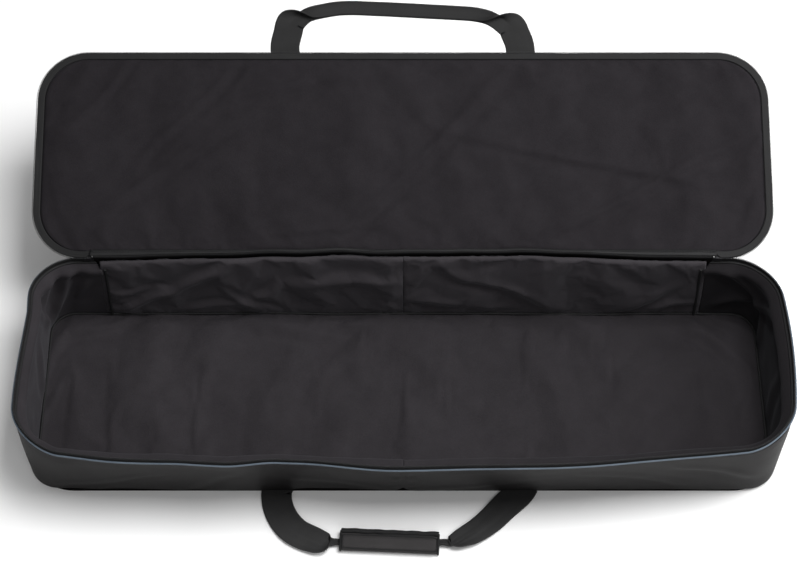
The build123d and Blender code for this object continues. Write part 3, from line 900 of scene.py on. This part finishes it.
def lidTapePlace(u, v):
    point, out = lidEdgePoint(lidSpan(u), -0.001 + v * 0.0115, -0.0002)
    normal = lidPoint(0, 0, 1) - lidPoint(0, 0, 0)
    return point + normal * (0.0008 * ripple(u * 3, v, 0.07, 23) * v)


lidTape = gridPiece("lidTape", (640, 8), lidTapePlace, (2.1, 0.0115), flip=True)
thicken(lidTape, 0.0012)
dress(lidTape, tapeCloth, "lid", ("lid_zip_tape",))


def lidTeethPath(share):
    point, out = lidEdgePoint(lidSpan(share), lid["tape"], -0.0006)
    return point, out, lidPoint(0, 0, 1) - lidPoint(0, 0, 0)


lidTeeth = teethPiece("lidTeeth", lidTeethPath, teeth["turns"], teeth["size"], teeth["wire"])
dress(lidTeeth, coilNylon, "lid", ("lid_zip_coil",))

beadRun = []
for i in range(301):
    x = -hingeHalf + i * hingeHalf / 150
    lift = hingeLift(x)
    wave = hingeLine["wave"] * ripple(x, 0, 0.06, 24)
    beadRun.append(Vector((x, hingeY - 0.001 + 0.7 * lift, hingeZ - 0.001 + lift + wave)))
hingeBead = tubePiece("hingeBead", beadRun, hingeLine["radius"], sides=4)
hingeBead.data.materials.clear()
hingeBead.data.materials.append(bindingCloth)
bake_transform(hingeBead)
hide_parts("hinge_binding")


def rearBandPlace(u, v):
    # the tape between the bead and the lid's lining, crowned where it wraps the bead
    x = (2 * u - 1) * (hingeHalf + hingeLine["bandPast"])
    lift = hingeLift(x)
    low = Vector((x, hingeY - 0.0035 + 0.7 * lift, hingeZ + 0.0028 + lift))
    high = lidPoint(x, 0.0150, 0.0002)
    spot = low.lerp(high, v)
    crown = 0.0022 * math.sin(math.pi * min(1, v * 1.2)) + 0.0004 * ripple(x, v, 0.03, 27)
    return spot + Vector((0, -0.25, 1)) * crown


rearBand = gridPiece("rearBand", (300, 10), rearBandPlace, (1.04, 0.015))
thicken(rearBand, 0.0010)
rearBand.data.materials.append(bindingCloth)
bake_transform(rearBand)
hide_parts("hinge_tape_lid")


def hingeClothPlace(u, v):
    # outside cloth, from the back wall up and over to the lid
    x = (2 * u - 1) * hingeHalf
    lift = hingeLift(x)
    low = Vector((x, hingeY + 0.0010 + 0.5 * lift, hingeZ - 0.016))
    high = lidPoint(x, 0.024, -lid["thick"] - 0.0006)
    mid = Vector((x, hingeY + 0.0045 + lift, hingeZ - 0.0065))
    return low.lerp(mid, v).lerp(mid.lerp(high, v), v)


hingeCloth = gridPiece("hingeCloth", (120, 12), hingeClothPlace, (1.04, 0.03))
thicken(hingeCloth, 0.0007)
hingeCloth.data.materials.append(nylon)
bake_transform(hingeCloth)
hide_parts("hinge_tape_base")
print("stage: lid")

# handles
def smoothLine(points, steps):
    # an even curve through a few points
    dense = []
    ends = [points[0]] + list(points) + [points[-1]]
    for a, b, c, d in zip(ends, ends[1:], ends[2:], ends[3:]):
        for i in range(steps):
            k = i / steps
            dense.append(tuple(
                0.5 * (2 * q + (r - p) * k + (2 * p - 5 * q + 4 * r - w) * k ** 2
                       + (3 * q - p - 3 * r + w) * k ** 3)
                for p, q, r, w in zip(a, b, c, d)))
    dense.append(tuple(points[-1]))
    return [Vector(spot) for spot in dense]


def ribbonShape(knots, width):
    # knots: x, reach, height, fold from 0 flat to 1 doubled, pinch from 0 to 1
    line = smoothLine(knots, 14)
    last = len(line) - 1

    def place(u, v):
        spot = u * last
        low = min(int(spot), last - 1)
        here = line[low].lerp(line[low + 1], spot - low)
        before, after = line[max(low - 1, 0)], line[min(low + 2, last)]
        run = Vector((after[0] - before[0], after[1] - before[1])).normalized()
        x, reach, height, fold, pinch = here
        across = (v - 0.5) * width * (1 - 0.6 * pinch)
        fold = min(max(fold, 0), 1)
        if across > 0:
            angle = math.pi * fold
            side, rise = across * math.cos(angle), across * math.sin(angle) * 0.45
            rise += 0.0023 * fold * smoothStep(across / 0.004)
        else:
            side, rise = across, 0
        rise += 0.005 * pinch * max(0, math.cos(across * 200))
        return Vector((x - run.y * side, reach + run.x * side, height + rise))
    return place, last


def ribbonPiece(name, knots, width, toWorld):
    shape, last = ribbonShape(knots, width)

    def place(u, v):
        flat = shape(u, v)
        wave = 0.0009 * ripple(u * 0.7, v * 0.05, 0.07, 30)
        return toWorld(flat.x, flat.y, flat.z + wave * math.sin(math.pi * u))
    piece = gridPiece(name, (last * 2, 20), place, (0.72, width))
    return thicken(piece, handleLoop["thickness"], even=False)


def foldStitches(name, knots, width, toWorld, body):
    # two rows that hold the doubled webbing
    shape, last = ribbonShape(knots, width)
    rows = []
    start, end = handleLoop["sewn"]
    for v in (0.56, 0.93):
        folded = [shape(i / 300, v) for i in range(301) if start < i / 300 < end]
        rows += runStitches(
            [toWorld(f.x, f.y, f.z + handleLoop["proud"]) for f in folded], handleLoop["pitch"],
        )
    piece = stitchPiece(name, rows, handleLoop["pitch"] * 0.62, 0.0004)
    return dress(piece, thread, body)


handleLoop = {"width": 0.050, "thickness": 0.0017, "pitch": 0.0042, "proud": 0.0003, "sewn": (0.30, 0.70)}
lidLoop = (
    (-0.203, -0.006, 0, 0, 0), (-0.2035, 0.012, 0, 0, 0), (-0.199, 0.034, 0, 0.0, 0),
    (-0.193, 0.055, 0.001, 0.12, 0), (-0.172, 0.076, 0.002, 0.75, 0),
    (-0.140, 0.086, 0.001, 0.97, 0), (-0.100, 0.092, 0, 1, 0), (-0.040, 0.090, 0, 1, 0),
    (0.030, 0.0865, 0, 1, 0), (0.090, 0.083, 0, 1, 0),
    (0.130, 0.079, 0.001, 0.97, 0), (0.160, 0.069, 0.002, 0.75, 0), (0.186, 0.048, 0.001, 0.12, 0),
    (0.195, 0.031, 0, 0.0, 0), (0.2015, 0.012, 0, 0, 0), (0.203, -0.006, 0, 0, 0),
)
frontLoop = (
    (-0.204, 0.166, 0, 0, 0), (-0.2085, 0.182, 0, 0, 0), (-0.205, 0.207, 0, 0, 0),
    (-0.194, 0.232, 0.001, 0, 0), (-0.175, 0.254, 0.002, 0.05, 0),
    (-0.147, 0.269, 0.002, 0.08, 0.05), (-0.124, 0.280, 0.002, 0.30, 0.22), (-0.105, 0.279, 0.002, 1, 0.85),
    (-0.080, 0.280, 0.003, 1, 0.2), (0.040, 0.284, 0.003, 1, 0.2),
    (0.062, 0.280, 0.002, 1, 0.85), (0.080, 0.281, 0.002, 0.45, 0.40), (0.100, 0.267, 0.002, 0.20, 0.25),
    (0.122, 0.251, 0.002, 0.08, 0.22),
    (0.144, 0.231, 0.001, 0, 0.15), (0.166, 0.207, 0, 0, 0.08), (0.1885, 0.184, 0, 0, 0),
    (0.200, 0.166, 0, 0, 0),
)


def lidLoopWorld(x, reach, height):
    return lidFlat(x, 0.3704 + reach, -0.0120 + height)


def frontLoopWorld(x, reach, height):
    return Vector((x, -reach, 0.0011 + height))


lidHandle = ribbonPiece("lidHandle", lidLoop, handleLoop["width"], lidLoopWorld)
lidHandle.data.materials.append(webbing)
lidLoopWorld(0, -0.003, 0)
lidLoopWorld(0, 0.010, 0)
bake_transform(lidHandle)
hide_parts("lid_handle_web")
foldStitches("lidHandleStitches", lidLoop, handleLoop["width"], lidLoopWorld, "lid_handle")

frontHandle = ribbonPiece("frontHandle", frontLoop, handleLoop["width"], frontLoopWorld)
frontHandle.data.materials.append(webbingLit)
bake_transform(frontHandle)
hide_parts("front_handle_web")

# grip: a padded wrap round the doubled webbing
grip = {
    "middle": (-0.022, -0.2745, 0.0066), "half": (0.080, 0.0168, 0.0066), "turn": math.radians(-2.7),
    "hole": (0.0125, 0.0030),
    "roll": 0.0019, "rolledEdge": 0.0046, "flapHalf": (0.0765, 0.0118), "flapPlace": (-0.0046, 0.0098),
}


def gripWorld(x, y, z):
    turned = Matrix.Rotation(grip["turn"], 3, "Z") @ Vector((x, y, 0))
    return Vector((grip["middle"][0] + turned.x, grip["middle"][1] + turned.y, grip["middle"][2] + z))


def gripSection(angle, halfWidth, halfHeight):
    # a squarish oval
    c, s = math.cos(angle), math.sin(angle)
    return math.copysign(abs(c) ** 0.62, c) * halfWidth, math.copysign(abs(s) ** 0.62, s) * halfHeight


def gripPlace(u, v):
    angle = 2 * math.pi * v
    halfLength, halfWidth, halfHeight = grip["half"]
    end = min(u, 1 - u)
    side = -1 if u < 0.5 else 1
    if end < 0.03:
        x, grow = side * (halfLength - 0.006), 0
    elif end < 0.08:
        x, grow = side * (halfLength - 0.0005), (end - 0.03) / 0.05 * 0.85
    else:
        run = (end - 0.08) / 0.42
        x, grow = side * halfLength * (1 - run), 0.93 + 0.07 * smoothStep(run * 6)
    wide = grip["hole"][0] + (halfWidth - grip["hole"][0]) * grow
    tall = grip["hole"][1] + (halfHeight - grip["hole"][1]) * grow
    y, z = gripSection(angle, wide, tall)
    swell = 0.0006 * ripple(x, angle * 0.02, 0.03, 31) * grow
    return gripWorld(x, y * (1 + swell * 40), z * (1 + swell * 40))


gripWrap = gridPiece("gripWrap", (120, 44), gripPlace, (0.17, 0.095), flip=True)
sealed = bmesh.new()
sealed.from_mesh(gripWrap.data)
bmesh.ops.remove_doubles(sealed, verts=sealed.verts, dist=0.00001)
bmesh.ops.recalc_face_normals(sealed, faces=sealed.faces)
sealed.to_mesh(gripWrap.data)
sealed.free()
gripWrap.data.shade_smooth()
dress(gripWrap, gripCloth, "grip", ("grip_skin", "grip_foam"))

for name, side in (("gripEndLeft", -1), ("gripEndRight", 1)):
    ring = []
    for i in range(64):
        y, z = gripSection(2 * math.pi * i / 64, grip["half"][1] + 0.0002, grip["half"][2] + 0.0002)
        ring.append(gripWorld(side * (grip["half"][0] - 0.0008), y * 0.97, z * 0.97))
    dress(tubePiece(name, ring, grip["roll"], closed=True), bindingCloth, "grip")
rolled = []
for x in range(-79, 80, 2):
    side, rise = 0.0152 + 0.0004 * math.sin(x * 0.2), 0.0055 + 0.0008 * ripple(x, 0, 9, 32)
    rolled.append(gripWorld(x * 0.001, side, rise))
dress(tubePiece("gripRolledEdge", rolled, grip["rolledEdge"]), bindingCloth, "grip")


def flapPlace(u, v):
    halfLength, halfWidth = grip["flapHalf"]
    x, y, edge = roundedSpot(u, v, (halfLength, halfWidth), 0.004)
    drop = 0.0022 * (abs(y) / halfWidth) ** 4 + 0.0010 * max(0, 1 - edge / 0.003) ** 2
    return gripWorld(
        x, y + grip["flapPlace"][0], grip["flapPlace"][1] - drop + 0.0004 * ripple(x, y, 0.02, 33),
    )


gripFlap = gridPiece("gripFlap", (90, 26), flapPlace, (0.153, 0.03))
thicken(gripFlap, 0.0022)
dress(gripFlap, gripCloth, "grip_flap", ("grip_flap",))
flapEdge = []
for i in range(160):
    spot, out = loopPoint(i / 160, grip["flapHalf"], 0.004)
    drop = 0.0022 * (abs(spot.y) / grip["flapHalf"][1]) ** 4 + 0.0012
    flapEdge.append(gripWorld(spot.x, spot.y + grip["flapPlace"][0], grip["flapPlace"][1] - drop))
dress(tubePiece("gripFlapEdge", flapEdge, 0.0013, closed=True), bindingCloth, "grip_flap")
flapRow = [gripWorld(x * 0.001, 0.0032, grip["flapPlace"][1] + 0.0001) for x in range(-72, 73, 2)]
dress(
    stitchPiece("gripFlapStitches", runStitches(flapRow, 0.0042), 0.0026, 0.0004), thread, "grip_flap",
)
print("stage: handles")

# rows of stitches
sewing = {"pitch": 0.0046, "length": 0.0028, "radius": 0.0004, "box": (0.020, 0.288, 0.356)}


def sewRow(name, spots, finish, body):
    return dress(
        stitchPiece(name, runStitches(spots, sewing["pitch"]), sewing["length"], sewing["radius"]), finish,
        body,
    )


rimSewn = [wallPoint(wallSpan(i / 500), rimLow.z - 0.0026, -0.0006)[0] for i in range(501)]
sewRow("rimStitches", rimSewn, thread, "base")
lidSewn = [lidEdgePoint(lidSpan(i / 500), 0.0022, 0.0002)[0] for i in range(501)]
sewRow("lidTapeStitches", lidSewn, thread, "lid")
hingeSewn = []
for i in range(201):
    x = (i / 100 - 1) * hingeHalf
    share = (x / (hingeHalf + hingeLine["bandPast"]) + 1) / 2
    hingeSewn.append(rearBandPlace(share, 0.62) + Vector((0, 0, 0.0003)))
hingeStitches = stitchPiece(
    "hingeStitches", runStitches(hingeSewn, sewing["pitch"]), sewing["length"], sewing["radius"],
)
hingeStitches.data.materials.append(thread)
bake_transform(hingeStitches)
for name, side in (("lidStrapStitchesLeft", -1), ("lidStrapStitchesRight", 1)):
    low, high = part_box("lid_strap_left" if side < 0 else "lid_strap_right")
    middle = (low.x + high.x) / 2
    half, near, far = sewing["box"]
    left, right = middle - half, middle + half
    corners = [(left, near), (right, near), (right, far), (left, far), (left, near)]
    corners += [(right, far), (left, far), (right, near)]
    sewRow(name, [lidFlat(x, out, -0.0131) for x, out in corners], thread, "lid")
print("stage: stitches")

# nodes that keep their own shape
nodeFinish = {
    "bottom_shell": nylonPlain, "base_strap_left": webbing, "base_strap_right": webbing,
    "lid_strap_left": webbing,
    "lid_strap_right": webbing, "grip_hook_strip": tapeCloth, "flap_loop_strip": tapeCloth,
    "slider_left": darkMetal, "slider_right": darkMetal, "pull_left": darkMetal, "pull_right": darkMetal,
}
for name, finish in nodeFinish.items():
    node = frame["nodes"][name]
    node.data.materials.clear()
    node.data.materials.append(finish)

print("stage: done")
